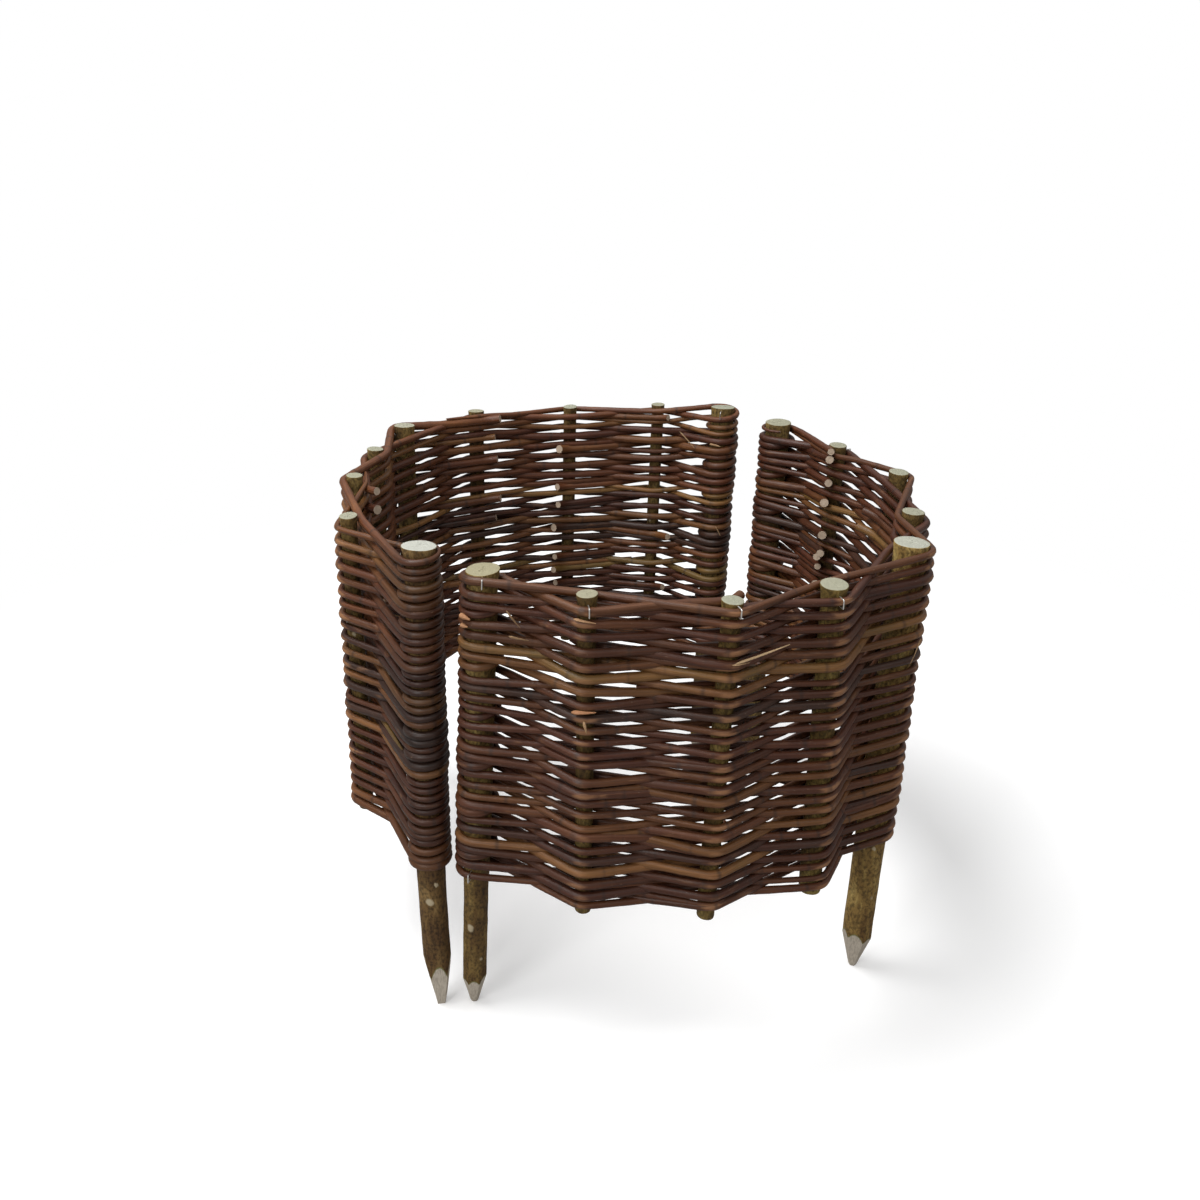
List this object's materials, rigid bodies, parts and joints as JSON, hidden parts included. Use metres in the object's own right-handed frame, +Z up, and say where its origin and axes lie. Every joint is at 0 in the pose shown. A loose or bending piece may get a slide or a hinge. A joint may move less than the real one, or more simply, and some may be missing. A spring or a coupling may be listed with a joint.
{
  "type": "woven edging ring",
  "caption": "Round garden edging of curved woven willow hurdles on pointed stakes, open at the top and underneath, to go round a plant or a tree.",
  "frame": {"origin": "on the floor under the middle of the ring, with the six leg tips on the floor", "axes": "+Z up; the gap between the two halves lies along the YZ plane, with the left half on -X and the right half on +X"},
  "size_m": [0.5883, 0.5575, 0.4526],
  "materials": {
    "bark_stakes": "rough bark, sawn tops and pale cut points",
    "woven_rods": "satin bark"
  },
  "bodies": {
    "root": {"left_front_end_stake": "bark_stakes", "left_thin_1_stake": "bark_stakes", "left_thin_2_stake": "bark_stakes", "left_thin_3_stake": "bark_stakes", "left_middle_stake": "bark_stakes", "left_thin_4_stake": "bark_stakes", "left_thin_5_stake": "bark_stakes", "left_thin_6_stake": "bark_stakes", "left_back_end_stake": "bark_stakes", "left_weave": "woven_rods", "right_back_end_stake": "bark_stakes", "right_thin_1_stake": "bark_stakes", "right_thin_2_stake": "bark_stakes", "right_thin_3_stake": "bark_stakes", "right_middle_stake": "bark_stakes", "right_thin_4_stake": "bark_stakes", "right_thin_5_stake": "bark_stakes", "right_thin_6_stake": "bark_stakes", "right_front_end_stake": "bark_stakes", "right_weave": "woven_rods"}
  },
  "joints": []
}
